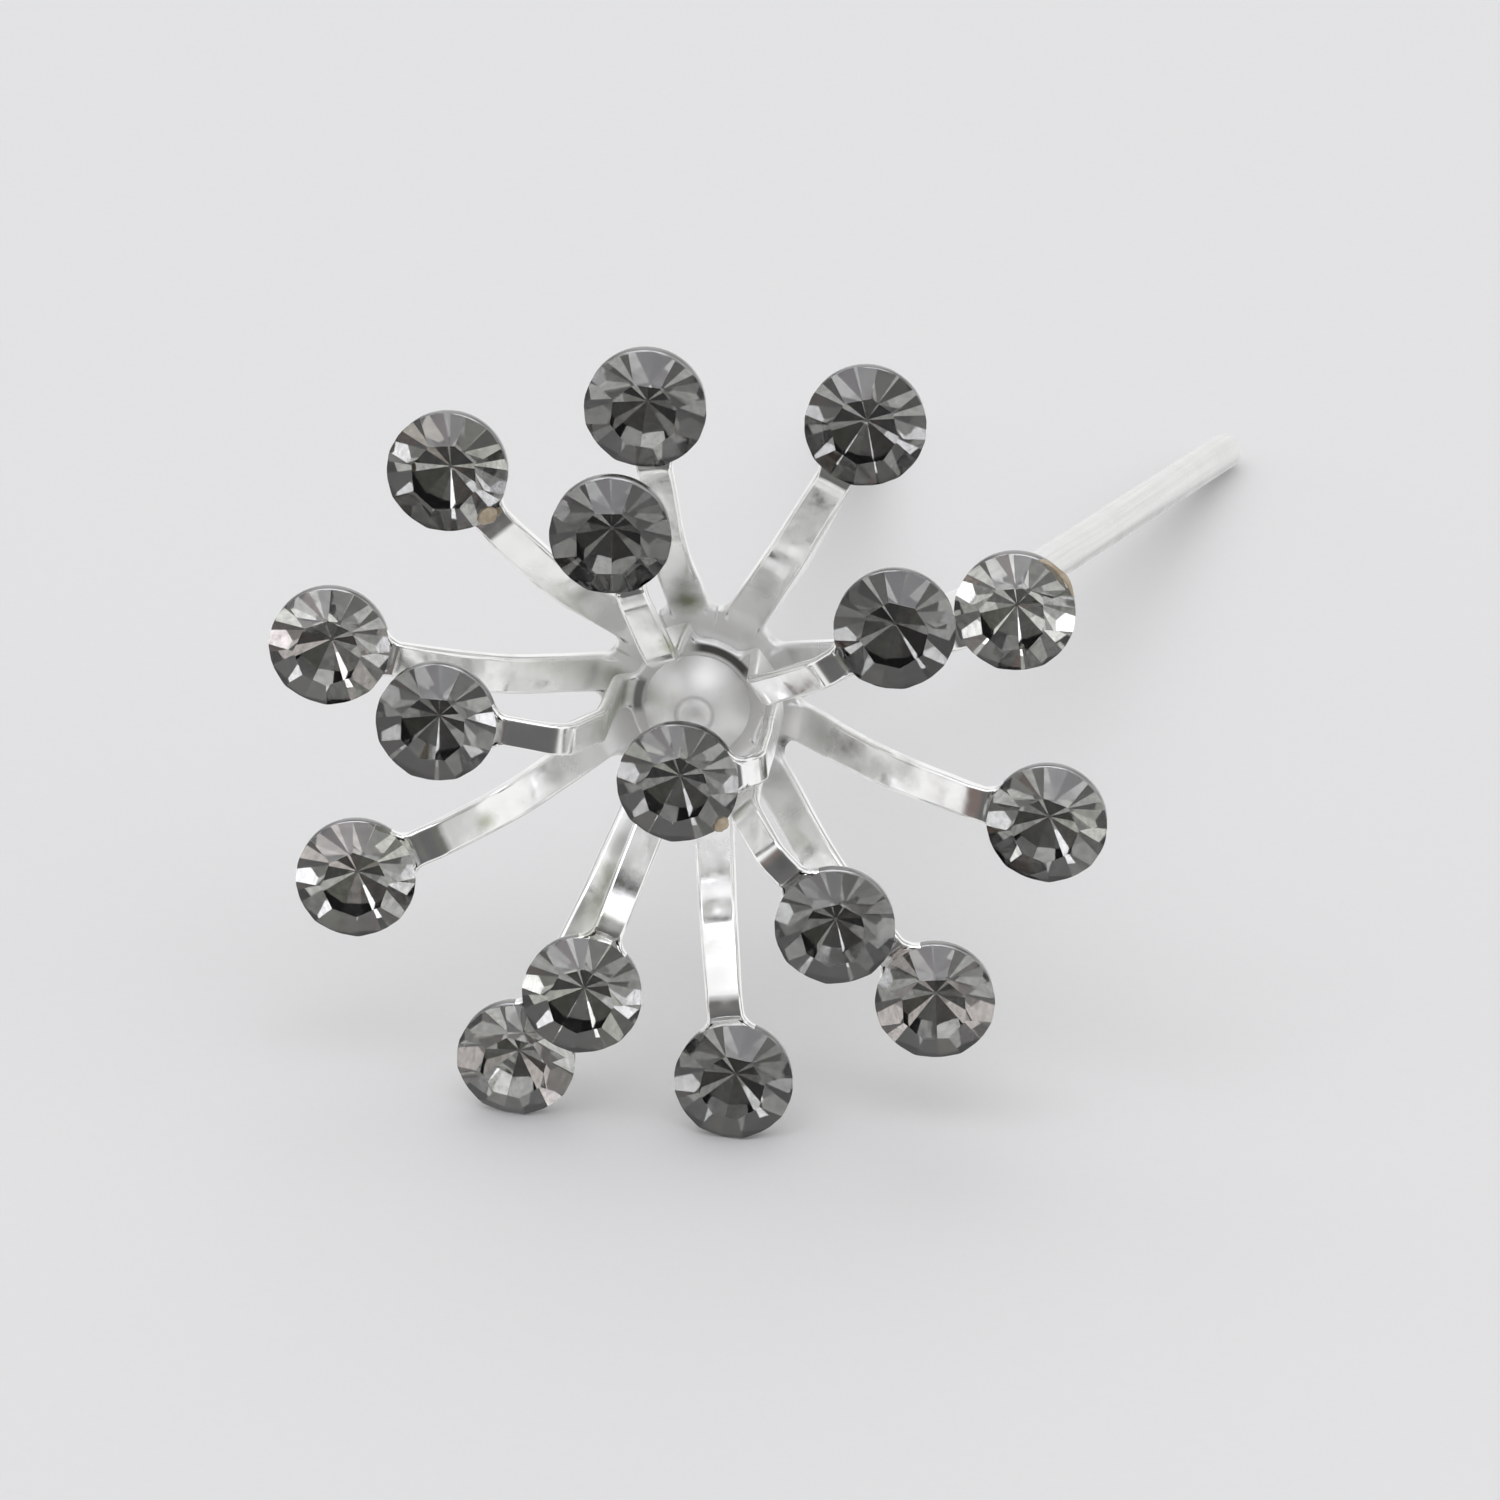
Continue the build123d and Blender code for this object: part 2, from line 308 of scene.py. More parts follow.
def addNode(owner, kind, sources, **settings):
    # a node of a material or of the world
    node = owner.node_tree.nodes.new("ShaderNode" + kind)
    for setting, value in settings.items():
        setattr(node, setting, value)
    feed(owner, node, sources)
    return node


def numberOf(owner, operation, *sources):
    # the result of a sum on numbers
    return addNode(owner, "Math", dict(enumerate(sources)), operation=operation).outputs["Value"]


def vectorOf(owner, operation, *sources, result="Vector"):
    # the result of a sum on vectors, whose value may be a number
    return addNode(owner, "VectorMath", dict(enumerate(sources)), operation=operation).outputs[result]


def coordinatesOf(owner, kind="Object"):
    # the pieces' own coordinates, which are the frame's, or another kind
    return addNode(owner, "TexCoord", {}).outputs[kind]


cloudRoughness = 0.55


def cloud(material, size, detail=4.0):
    # noise whose patches are about this many millimetres wide
    texture = addNode(material, "TexNoise", {
        "Vector": coordinatesOf(material), "Scale": 1 / (size * mm),
        "Detail": detail, "Roughness": cloudRoughness,
    })
    return texture.outputs["Fac"]


def fourOf(colour):
    # one grey or three numbers as the four that a colour takes
    return (colour,) * 3 + (1,) if isinstance(colour, (int, float)) else (*colour, 1)


def ramp(material, source, stops):
    # stops are (place, colour) pairs, a colour being one grey or three numbers
    node = addNode(material, "ValToRGB", {"Fac": source})
    elements = node.color_ramp.elements
    while len(elements) < len(stops):
        elements.new(0.5)    # anywhere, for its place is set below
    for element, (place, colour) in zip(elements, stops):
        element.position = place
        element.color = fourOf(colour)
    return node.outputs["Color"]


def patches(material, size, detail, low, high):
    # a cloud of two tones, each with the place on the cloud where it is reached
    return ramp(material, cloud(material, size, detail), [low, high])


def bump(material, shader, height, depth):
    # depth in millimetres
    node = addNode(material, "Bump", {"Distance": depth * mm, "Strength": 1.0, "Height": height})
    feed(material, shader, {"Normal": node.outputs["Normal"]})


def easeOf(owner, value, none, full):
    # 0 where the value is none, 1 where it is full, and smooth between
    sources = {"Value": value, "From Min": none, "From Max": full}
    return addNode(owner, "MapRange", sources, interpolation_type="SMOOTHSTEP").outputs["Result"]


def blendOf(owner, share, low, high):
    # between two colours or greys, or the outputs that give them
    low, high = (tone if isinstance(tone, bpy.types.NodeSocket) else fourOf(tone) for tone in (low, high))
    return addNode(owner, "Mix", {"Factor": share, "A": low, "B": high}, data_type="RGBA").outputs["Result"]


def farFromHub(material, near, far):
    # 0 close to the rivet and 1 out at the stones, measured in millimetres
    distance = vectorOf(material, "DISTANCE", coordinatesOf(material), hubOrigin, result="Value")
    return easeOf(material, distance, near * mm, far * mm)


def fromAxis(material, place):
    # across the burst's axis from a place: the vector, turned a quarter, and its length
    away = vectorOf(material, "SUBTRACT", coordinatesOf(material), place)
    across = vectorOf(material, "CROSS_PRODUCT", away, burstAxis)
    return across, vectorOf(material, "LENGTH", across, result="Value")


def nearSpot(material, place, radius, ragged):
    # 1 inside a ragged round spot that is seen along the burst's axis, and 0 outside it
    length = fromAxis(material, place)[1]
    reach = numberOf(material, "MULTIPLY_ADD", ragged, radius * mm, length)
    full, none = plateLook["spotEdge"]
    return easeOf(material, reach, none * radius * mm, full * radius * mm)


def nearArc(material, outward, spread):
    # 1 on part of a ring round the rivet, and 0 elsewhere: spread is half its angle
    across, length = fromAxis(material, hubOrigin)
    offRing = numberOf(material, "SUBTRACT", length, plateLook["arcRadius"] * mm)
    beside = numberOf(material, "ABSOLUTE", offRing)
    straight = vectorOf(material, "NORMALIZE", across)
    toward = vectorOf(material, "DOT_PRODUCT", straight, outward.cross(burstAxis), result="Value")
    off = numberOf(material, "ARCCOSINE", toward)
    (fullWidth, width), (fullEnd, end) = plateLook["arcWidths"], plateLook["arcEnds"]
    onRing = easeOf(material, beside, width * mm, fullWidth * mm)
    onSide = easeOf(material, off, math.radians(spread) * end, math.radians(spread) * fullEnd)
    return numberOf(material, "MULTIPLY", onRing, onSide)


plateLook = {
    "bright": (0.93, 0.93, 0.922),
    "soft": (0.86, 0.862, 0.85),
    "olive": (0.66, 0.665, 0.59),
    "clouds": [(0.0, "olive"), (0.33, "soft"), (0.45, "bright"), (1.0, "bright")],
    "cloudSize": 1.5,
    "gloss": (0.6, 6, (0.35, 0.09), (0.75, 0.29)),   # patch size and detail, then the smooth and the dull
    "unpolished": 0.56,  # the polishing wheel doesn't reach in to the rivet
    "polishFrom": 2.6,
    "polishTo": 6.0,
    "waves": (1.3, 2.5),
    "waveDepth": 0.007,
    "edgeShade": 0.34,       # the cups' round edges, made darker: painted shade for the dark reflection that a round edge shows
    # tones of tarnish and wear, laid where they also paint shade and dark reflections on the arms
    "tarnishAndShade": (0.30, 0.32, 0.20),
    "wearAndShade": (0.52, 0.52, 0.50),
    # painted shade: a near black tone for the gaps round the rivet and between the arms' feet
    "gapShade": (0.09, 0.09, 0.085),
    "ragged": 0.5,
    "spotEdge": (0.5, 1.9),          # where a spot starts to fade and where it ends, in radii
    # tone, the stone that it lies toward, millimetres out from the rivet, sideways, radius and strength
    # partly real tarnish and wear, partly painted shade and painted reflection, at listed places on the
    # arms
    "spots": [
        ("tarnishAndShade", "stone_03", 3.55, -0.1, 0.52, 0.85),
        ("wearAndShade", "stone_03", 4.4, -0.1, 0.5, 0.7),
        ("tarnishAndShade", "stone_05", 2.75, 0.0, 0.42, 0.4),
        ("tarnishAndShade", "stone_13", 2.5, 0.15, 0.45, 0.5),
        ("wearAndShade", "stone_07", 5.1, 0.0, 0.5, 0.7),
        ("tarnishAndShade", "stone_07", 5.9, 0.0, 0.5, 0.55),
        ("tarnishAndShade", "stone_07", 6.7, 0.0, 0.46, 0.5),
        ("tarnishAndShade", "stone_06", 7.3, 0.15, 0.34, 0.65),
        ("wearAndShade", "stone_06", 5.0, 0.1, 0.4, 0.7),
        ("wearAndShade", "stone_04", 5.6, -0.1, 0.42, 0.7),
        ("wearAndShade", "stone_02", 4.8, 0.0, 0.5, 0.5),
        ("wearAndShade", "stone_08", 6.0, -0.3, 0.36, 0.6),
        ("wearAndShade", "stone_09", 4.6, 0.1, 0.36, 0.5),
        ("wearAndShade", "stone_09", 6.0, -0.1, 0.4, 0.5),
        ("wearAndShade", "stone_10", 4.2, 0.1, 0.62, 0.85),
        ("wearAndShade", "stone_10", 5.1, 0.12, 0.66, 0.9),
        ("wearAndShade", "stone_10", 6.1, 0.15, 0.66, 0.85),
        ("wearAndShade", "stone_10", 7.0, 0.2, 0.6, 0.85),
        # these two paint the shade in the slot between the feet of two arms
        ("gapShade", "stone_10", 3.0, -0.8, 0.26, 0.85),
        ("gapShade", "stone_10", 3.15, -1.05, 0.22, 0.85),
    ],
    # painted shade at the foot of the rivet, in the gap under its head: the stone that it lies toward, half
    # its angle and its strength
    "arcs": [("stone_02", 32, 0.93), ("stone_13", 17, 0.7)],
    "arcRadius": 1.96,
    "arcWidths": (0.08, 0.2),        # full within the first, gone past the second
    "arcEnds": (0.7, 1.2),           # likewise, in shares of half its angle
}


def armWay(stone):
    # the way out from the rivet toward a stone, in the burst's own frame
    place = intoBurst @ stonePlaces[stone].translation
    return Vector((place.x, place.y, 0)).normalized()


def stainAndShade(material, share, strength, colours, tone):
    # one of the tones laid over the colours, where the share is 1 and as strong as asked
    return blendOf(material, ramp(material, share, [(0.0, 0.0), (1.0, strength)]), colours, plateLook[tone])


def silverPlate(name, brightness=1.0):
    # bright plating over hand-bent sheet: faint clouds, spots of tarnish and wear that also paint shade,
    # painted shade at the rivet's foot, and a soft waviness
    material, shader = shaderOf(name, {"Metallic": 1.0})
    stops = []
    for place, tone in plateLook["clouds"]:
        stops.append((place, [brightness * value for value in plateLook[tone]]))
    colours = ramp(material, cloud(material, plateLook["cloudSize"]), stops)
    dull = patches(material, *plateLook["gloss"])
    ragged = cloud(material, plateLook["ragged"])
    # spots of tarnish and wear, which also paint shade on the arms
    for tone, stone, reach, side, radius, strength in plateLook["spots"]:
        outward = armWay(stone)
        place = burst @ ((outward * reach + Vector((-outward.y, outward.x, 0)) * side) * mm)
        spot = nearSpot(material, place, radius, ragged)
        colours = stainAndShade(material, spot, strength, colours, tone)
    # painted shade in part of a ring at the rivet's foot
    for stone, spread, strength in plateLook["arcs"]:
        arc = nearArc(material, burst.to_3x3() @ armWay(stone), spread)
        colours = stainAndShade(material, arc, strength, colours, "gapShade")
    out = farFromHub(material, plateLook["polishFrom"], plateLook["polishTo"])
    gloss = blendOf(material, out, plateLook["unpolished"], dull)
    feed(material, shader, {"Base Color": colours, "Roughness": gloss})
    bump(material, shader, cloud(material, *plateLook["waves"]), plateLook["waveDepth"])
    return material


# in the looks below, a pattern is its patches' size and detail, then where each of two tones is reached
wireLook = {
    "tones": [(0.3, (0.70, 0.70, 0.69)), (0.7, (0.80, 0.80, 0.79))],
    "gloss": (1.2, 4, (0.3, 0.2), (0.8, 0.34)),
    "lines": 22,         # drawn lines round the wire
    "lineLength": 9.0,
    "lineDetail": 3.0,
    "lineDepth": 0.0008,
}


def steelWire():
    # drawn steel wire, with faint lines along the legs: u runs round the wire and v along it in millimetres
    material, shader = shaderOf("steelWire", {"Metallic": 1.0})
    scale = (wireLook["lines"], 1 / wireLook["lineLength"], 1)
    mapping = addNode(material, "Mapping", {"Vector": coordinatesOf(material, "UV"), "Scale": scale})
    lines = addNode(material, "TexNoise", {
        "Vector": mapping.outputs["Vector"], "Scale": 1.0, "Detail": wireLook["lineDetail"],
    }).outputs["Fac"]
    feed(material, shader, {
        "Base Color": ramp(material, lines, wireLook["tones"]),
        "Roughness": patches(material, *wireLook["gloss"]),
    })
    bump(material, shader, lines, wireLook["lineDepth"])
    return material


# the stamped disc that the wire is soldered to
plateSteelLook = {
    "tones": (0.9, 6, (0.3, (0.70, 0.70, 0.69)), (0.7, (0.80, 0.80, 0.79))),
    "gloss": (0.5, 5, (0.3, 0.18), (0.8, 0.36)),
    "relief": (0.3, 6),
    "depth": 0.004,
}
# tin that ran and set: greyer and duller than the wire
solderLook = {
    "tones": (0.5, 4, (0.3, 0.52), (0.7, 0.70)),
    "gloss": (0.25, 6, (0.3, 0.24), (0.8, 0.42)),
    "relief": (0.35, 5),
    "depth": 0.015,
}


def plainMetal(name, look):
    # tones, gloss and relief, each by its own pattern
    material, shader = shaderOf(name, {"Metallic": 1.0})
    tones, gloss = patches(material, *look["tones"]), patches(material, *look["gloss"])
    feed(material, shader, {"Base Color": tones, "Roughness": gloss})
    bump(material, shader, cloud(material, *look["relief"]), look["depth"])
    return material


crystalLook = {
    "tint": (0.97, 0.975, 0.97),
    "index": 1.58,
    "haze": (0.55, 5, (0.4, 0.004), (0.85, 0.035)),
}


def crystalGlass():
    # clear cut glass, with a trace of the polishing left in its roughness
    material, shader = shaderOf("crystalGlass", {
        "IOR": crystalLook["index"], "Transmission Weight": 1.0, "Base Color": (*crystalLook["tint"], 1),
    })
    feed(material, shader, {"Roughness": patches(material, *crystalLook["haze"])})
    return material


# in the order of stoneCut's foilShares
foilTones = {
    "foilPlain": (0.68, 0.68, 0.665),
    # the dark, bright and deep foils are shaded and lit copies of the plain one: painted shade and painted
    # light in the facets
    "foilShadeDark": (0.50, 0.50, 0.49),
    "foilRose": (0.61, 0.565, 0.55),
    "foilOlive": (0.65, 0.655, 0.605),
    "foilPaintedLight": (0.88, 0.88, 0.86),
    "foilShadeDeep": (0.34, 0.34, 0.33),
    # the girdle's side, dark for the thin dark ring round each stone
    "girdleDark": (0.20, 0.20, 0.19),
}
foilLook = {
    "gloss": 0.04,
    "mottle": 0.8,       # the darker tone's share of the foil's own
    "mottleSize": 0.35,
    "mottleDetail": 5,
    "mottleFrom": 0.32,
    "mottleTo": 0.6,
}


def backFoil(name, tone):
    # the silvered back of a stone, a little mottled where the lacquer is thick
    material, shader = shaderOf(name, {"Metallic": 1.0, "Roughness": foilLook["gloss"]})
    darker = tuple(value * foilLook["mottle"] for value in tone)
    stops = [(foilLook["mottleFrom"], darker), (foilLook["mottleTo"], tone)]
    feed(material, shader, {
        "Base Color": patches(material, foilLook["mottleSize"], foilLook["mottleDetail"], *stops),
    })
    return material


glueLook = {
    "gloss": 0.12,
    "index": 1.5,
    "clear": 0.35,
    "tones": (0.3, 4, (0.3, (0.50, 0.38, 0.24)), (0.75, (0.72, 0.64, 0.50))),
}


def amberGlue():
    # a drop of old clear glue
    material, shader = shaderOf("amberGlue", {
        "Roughness": glueLook["gloss"], "IOR": glueLook["index"], "Transmission Weight": glueLook["clear"],
    })
    feed(material, shader, {"Base Color": patches(material, *glueLook["tones"])})
    return material


# the second plate is a darker copy for the cups' round edges: painted shade
silver, shadedCupEdge = silverPlate("silverPlate"), silverPlate("shadedCupEdge", plateLook["edgeShade"])
wireSteel = steelWire()
plateSteel, solderTin = plainMetal("steelPlate", plateSteelLook), plainMetal("softSolder", solderLook)
crystal, glue = crystalGlass(), amberGlue()
foils = [backFoil(name, tone) for name, tone in foilTones.items()]
print("materials made:", len(bpy.data.materials))


# Stones

def cutPlane(solid, point, normal):
    # cuts away what lies outside the plane, and closes the cut with one flat face
    everything = solid.verts[:] + solid.edges[:] + solid.faces[:]
    cut = bmesh.ops.bisect_plane(
        solid, geom=everything, dist=1e-7, plane_co=point, plane_no=normal, clear_outer=True
    )
    edges = [item for item in cut["geom_cut"] if isinstance(item, bmesh.types.BMEdge)]
    if edges:
        bmesh.ops.contextual_create(solid, geom=edges)


def cutStone(seed, name):
    # one stone in millimetres, its girdle's underside at z = 0; every face gets a material number
    solid = bmesh.new()
    radius, top = stoneCut["width"] / 2, stoneCut["girdle"] + crownHeight
    height, reach, step = top + backDepth, radius * flatShare, 2 * math.pi / stoneCut["facets"]
    bmesh.ops.create_cone(
        solid, cap_ends=True, segments=stoneCut["rimSides"], radius1=radius, radius2=radius, depth=height,
        matrix=Matrix.Translation((0, 0, top - height / 2)),
    )
    for facet in range(stoneCut["facets"]):
        # a crown facet, then the back facet half a step beside it
        for turn, slope, level, way in ((0.5, crownSlope, stoneCut["girdle"], 1), (0, backSlope, 0, -1)):
            outward = levelWay((facet + turn) * step)
            normal = (outward * slope + Vector((0, 0, way))).normalized()
            cutPlane(solid, outward * reach + Vector((0, 0, level)), normal)
    culetLevel = stoneCut["culet"] / 2 * flatShare * backSlope - backDepth
    cutPlane(solid, Vector((0, 0, culetLevel)), Vector((0, 0, -1)))
    solid.normal_update()
    choose = random.Random(seed)
    shares = {**stoneCut["foilShares"], **stoneCut["otherShares"].get(name, {})}
    for face in solid.faces:
        # the crystal is the first material, the girdle's dark tone the last, and the foils lie between
        face.material_index = len(foils) if abs(face.normal.z) < stoneCut["upright"] else 0
        # a back facet draws its foil by these shares, so shaded and lit copies paint light and shade in it
        if face.normal.z < stoneCut["facesBack"]:
            face.material_index = choose.choices(range(1, len(foils)), weights=shares.values())[0]
    sharp = math.radians(stoneCut["sharpFrom"])
    edges = [edge for edge in solid.edges if edge.calc_face_angle(0) > sharp]
    bmesh.ops.bevel(
        solid, geom=edges, offset=stoneCut["edge"], segments=2, profile=0.5, affect="EDGES",
        clamp_overlap=True,
    )
    bmesh.ops.recalc_face_normals(solid, faces=solid.faces[:])
    return solid


for number, name in enumerate(allStones, start=1):
    solid = cutStone(stoneCut["seed"] + number, name)
    solid.transform(stonePlaces[name] @ Matrix.Scale(mm, 4))
    piece = newPiece(f"cutStone{number:02d}", [], [], [crystal] + foils)
    solid.to_mesh(piece.data)
    solid.free()
    finishPiece(piece, "foiled_glass", name)
print("stones cut:", len(allStones))


# Stars of bent sheet

outerStar = {
    "level": 0.0,
    "disc": 3.25,
    "root": 3.25,        # where the arms bend up
    "kneeOut": 0.47,     # the knee's share of the way out from there to the cup
    "kneeRise": 3.105,
    "knees": [1.02, 0.80, 1.04, 1.00, 0.98, 1.05, 0.96, 1.04, 1.02, 0.94],
    "rootWidth": 1.35,
    "neckWidth": 1.15,
    "bends": (1.5, 6.0, 1.3),        # radii at the root, the knee and the cup
    # the flat length between the last bend's corner and the cup, arm by arm
    "leads": [0.4, 0.35, 0.4, 0.6, 0.45, 1.0, 0.5, 0.6, 0.5, 0.6],
    "corner": 0.3,
    "twist": 5.0,        # degrees either way at most
    "sway": 0.07,
    "seed": 3,
}
innerStar = {
    "level": innerLevel,
    "disc": 2.2,
    "root": 2.65,
    "kneeOut": 0.06,
    "kneeRise": 4.002,
    "knees": [0.90, 1.02, 1.00, 0.84, 1.18],
    "rootWidth": 1.12,
    "neckWidth": 1.0,
    "bends": (0.6, 0.9, 0.8),
    "leads": [0.9, 0.65, 2.2, 0.5, 1.15],
    "middleKnee": 6.85,
    "middleBends": (0.6, 0.6, 0.6),
    "corner": 0.25,
    "twist": 3.0,
    "sway": 0.04,
    "seed": 8,
}
cupShape = {
    "rim": 3.8,
    "foldedLead": 0.2,   # the middle arm's lead, which all the knees are placed by
    "wall": 0.3,
    "base": 0.8,
    "flare": 0.6,        # round corner between the strip and its cup
    "flareSteps": 6,
    "rimStep": 7,        # degrees
    "lip": 0.14,         # flat between the outline and the cup's slope, on the back
    "levels": 22,
    "bottomBend": 0.1,
    "baseBend": 0.35,
    "seamStart": 0.08,
    "seam": 0.4,         # the low fold where the strip meets the cup
    "seamHeight": 0.04,
}


def armOf(name, star, kneeRise, bends, lead):
    # an arm is read from the stone that it holds, in the burst's own frame
    place = intoBurst @ stonePlaces[name]
    axis = place.to_3x3().col[2]
    middle = place.translation / mm - axis * (stoneCut["proud"] + sheetMetal["thickness"] / 2)
    azimuth = math.atan2(middle.y, middle.x)
    outward = levelWay(azimuth)
    reach, rise = middle.dot(outward), middle.z - star["level"]
    lean = -math.atan2(axis.dot(outward), axis.z)
    leaning = levelWay(lean).xy
    way = 1 if reach > star["root"] else -1
    half = way * (cupShape["rim"] / 2 + lead)
    tilt = leaning * half
    padStart, padEnd = Vector((reach, rise)) - tilt, Vector((reach, rise)) + tilt
    kneeOut = star["kneeOut"] if way > 0 else 0
    bendShift = leaning * (lead - cupShape["foldedLead"])
    knee = (star["root"] + kneeOut * (padStart.x + bendShift.x - star["root"]), kneeRise)
    path = roundedPath([(0, 0), (star["root"], 0), knee, padStart, padEnd], bends)
    return {
        "azimuth": azimuth,
        "path": path,
        "center": pathLength(path) - abs(half),
        "folded": way < 0,          # the middle arm bends back, so its stone sits on the sheet's other side
        "outward": outward,
        "across": Vector((-outward.y, outward.x, 0)),
    }


def starArms(star, names, middle=None):
    choose = random.Random(star["seed"])
    arms = []
    for name, knee, lead in zip(names, star["knees"], star["leads"]):
        arms.append(armOf(name, star, star["kneeRise"] * knee, star["bends"], lead))
    if middle:
        arms.append(armOf(middle, star, star["middleKnee"], star["middleBends"], cupShape["foldedLead"]))
    for arm in arms:
        arm["twist"] = math.radians(choose.uniform(-star["twist"], star["twist"]))
        arm["sway"] = choose.uniform(-star["sway"], star["sway"])
        arm["phase"] = choose.uniform(0, sheetMetal["phases"])
    return sorted(arms, key=lambda arm: arm["azimuth"])


def bendArm(arm, star, length, side, offset):
    # a point of the flat sheet, carried to its place on the bent arm
    start = star["disc"] + star["corner"]
    free = (length - start) / (arm["center"] - cupShape["rim"] / 2 - start)
    if 0 < free < 1:
        loose = math.sin(math.pi * free) ** 2
        height, lengthChange, sideChange = sheetMetal["wave"]
        wave = noise.noise(Vector((length * lengthChange, side * sideChange, arm["phase"])))
        offset += loose * (side * math.tan(arm["twist"]) + height * wave)
        side += loose * arm["sway"]
    fold = (arm["center"] - cupShape["rim"] / 2 - cupShape["seamStart"] - length) / cupShape["seam"]
    if 0 < fold < 1:
        offset += cupShape["seamHeight"] * math.sin(math.pi * fold) ** 2
    spot = sheetPoint(arm["path"], length, offset)
    return arm["outward"] * spot.x + arm["across"] * side + Vector((0, 0, spot.y + star["level"]))


def bendDisc(pair, star, flat, offset):
    # a point of the disc between two arms rises as its neighbours do
    first, second = pair
    angle = math.atan2(flat.y, flat.x)
    span = (second["azimuth"] - first["azimuth"]) % (2 * math.pi)
    share = min(max(((angle - first["azimuth"]) % (2 * math.pi)) / span, 0), 1)
    outward = levelWay(angle)
    low, high = (sheetPoint(arm["path"], flat.length, offset) for arm in pair)
    spot = low.lerp(high, share)
    return outward * spot.x + Vector((0, 0, spot.y + star["level"]))


def armSpot(arm, star, length, side, out=None):
    # a spot is a function of (offset from the sheet's middle, distance out past the outline)
    if out is None:
        return lambda offset, past: bendArm(arm, star, length, side, offset)
    return lambda offset, past: bendArm(arm, star, length + out[0] * past, side + out[1] * past, offset)


def discSpot(pair, star, flat, out=None):
    if out is None:
        return lambda offset, past: bendDisc(pair, star, flat, offset)
    return lambda offset, past: bendDisc(pair, star, flat + out * past, offset)


def halfWidth(arm, star, length):
    start, end = star["root"], arm["center"]
    share = min(max((length - start) / (end - start), 0), 1)
    height, change, layer = sheetMetal["widthWave"]
    wave = 1 + height * noise.noise(Vector((length * change, layer, arm["phase"])))
    return (star["rootWidth"] + (star["neckWidth"] - star["rootWidth"]) * share) / 2 * wave


def spreadOf(arm, other):
    # half the angle between two arms
    return abs((other["azimuth"] - arm["azimuth"] + math.pi) % (2 * math.pi) - math.pi) / 2


def rimBetween(arm, other, star):
    # the disc reaches out a little further where two arms stand close together
    least = (star["rootWidth"] / 2 + sheetMetal["leastGap"]) / math.sin(spreadOf(arm, other))
    return max(star["disc"], least)


def armStart(arm, before, after, star):
    return max(rimBetween(arm, other, star) for other in (before, after)) + star["corner"]


def gapSide(arm, other, star, way):
    # the edge of an arm down to the disc's rim: length, side, and the way out of the metal
    width, corner, steps = star["rootWidth"] / 2, star["corner"], sheetMetal["cornerSteps"]
    rim = rimBetween(arm, other, star)
    across = min(corner, rim * math.sin(spreadOf(arm, other)) - width)
    edge = []
    length = arm["start"] - sheetMetal["rowStep"]
    lowest = math.sqrt((rim + corner) ** 2 - width**2)
    while length > lowest + sheetMetal["rowStep"] / 2:
        edge.append((length, way * width, (0.0, float(way))))
        length -= sheetMetal["rowStep"]
    for step in range(1, steps + 1):
        angle = math.pi / 2 * step / steps
        radius = rim + corner * (1 - math.sin(angle))
        lateral = width + across * (1 - math.cos(angle))
        length = math.sqrt(radius**2 - lateral**2)
        outward = Vector((length, lateral)).normalized() * across * math.sin(angle)
        outward += Vector((0, corner * math.cos(angle)))
        outward.normalize()
        edge.append((length, way * lateral, (outward.x, way * outward.y)))
    return edge


def flatSpot(arm, length, side):
    return arm["outward"].xy * length + arm["across"].xy * side


def acrossStrip(arm, star, length, width, add):
    # a row of points across a strip
    row = []
    for share in columnShares:
        out = (0, share) if abs(share) == 1 else None
        row.append(add(armSpot(arm, star, length, width * share, out), out is not None))
    return row


